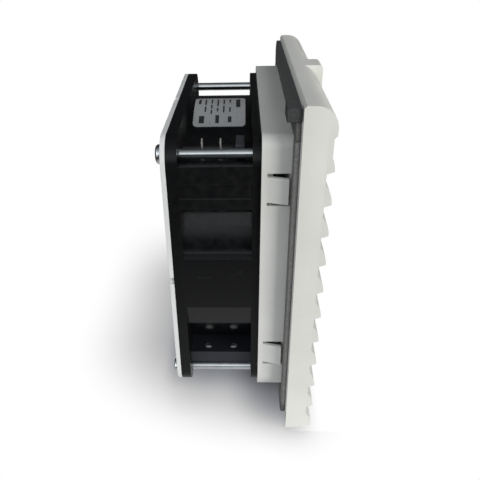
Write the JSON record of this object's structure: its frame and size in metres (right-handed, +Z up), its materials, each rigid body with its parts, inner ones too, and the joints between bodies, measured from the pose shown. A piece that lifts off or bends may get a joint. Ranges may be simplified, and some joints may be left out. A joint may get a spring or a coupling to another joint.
{
  "type": "enclosure filter fan",
  "caption": "Square axial fan behind a snap-in housing with a filter mat and a hinged louvred cover, clipped into a cabinet wall cut-out.",
  "frame": {"origin": "middle of the square wall cut-out, on the outer face of the cabinet wall", "axes": "+X across the cover, +Y into the cabinet along the fan's axis, +Z up"},
  "size_m": [0.141, 0.0668, 0.1499],
  "materials": {
    "cover_plastic": "satin light grey",
    "housing_plastic": "satin light grey",
    "guard_plastic": "satin white",
    "fleece": "white non-woven fleece",
    "foam": "closed-cell foam",
    "fan_plastic": "black, slightly glossy",
    "zinc_steel": "bright zinc plated",
    "terminal_plastic": "dark grey",
    "tinned_brass": "tin plated",
    "label_foil": "silver grey foil, blank",
    "wire_sleeve": "sleeved",
    "cup_steel": "drawn steel",
    "cast_aluminium": "as cast",
    "ground_steel": "ground",
    "laminated_steel": "stacked sheets",
    "enamelled_wire": "enamelled copper",
    "insulator_plastic": "natural nylon",
    "bearing_steel": "polished",
    "spring_steel": "blued"
  },
  "bodies": {
    "base": {"base_housing": "housing_plastic", "finger_guard": "guard_plastic", "filter_mat": "fleece", "gasket_top": "foam", "gasket_bottom": "foam", "gasket_left": "foam", "gasket_right": "foam", "fan_front_flange": "fan_plastic", "fan_duct": "fan_plastic", "fan_terminal_box": "fan_plastic", "fan_shelves": "fan_plastic", "fan_rear_flange": "fan_plastic", "motor_base": "fan_plastic", "long_screws": "zinc_steel", "hex_nuts": "zinc_steel", "terminal_block": "terminal_plastic", "blade_terminals": "tinned_brass", "rating_label": "label_foil", "motor_leads": "wire_sleeve", "stator_core": "laminated_steel", "stator_windings": "enamelled_wire", "winding_insulators": "insulator_plastic", "front_bearing": "bearing_steel", "rear_bearing": "bearing_steel", "wave_washer": "spring_steel"},
    "cover": {"front_cover": "cover_plastic", "hinge_pins": "ground_steel"},
    "rotor": {"impeller": "fan_plastic", "rotor_cup": "cup_steel", "rotor_cage": "cast_aluminium", "shaft": "ground_steel", "retaining_ring": "spring_steel"}
  },
  "joints": [
    {"name": "cover_hinge", "type": "hinge", "parent": "base", "child": "cover", "pos_m": [0, -0.0045, -0.073], "axis": [1, 0, 0], "range_deg": [0, 90]},
    {"name": "fan_spin", "type": "hinge", "parent": "base", "child": "rotor", "pos_m": [0, 0.025, 0], "axis": [0, 1, 0], "continuous": true}
  ]
}
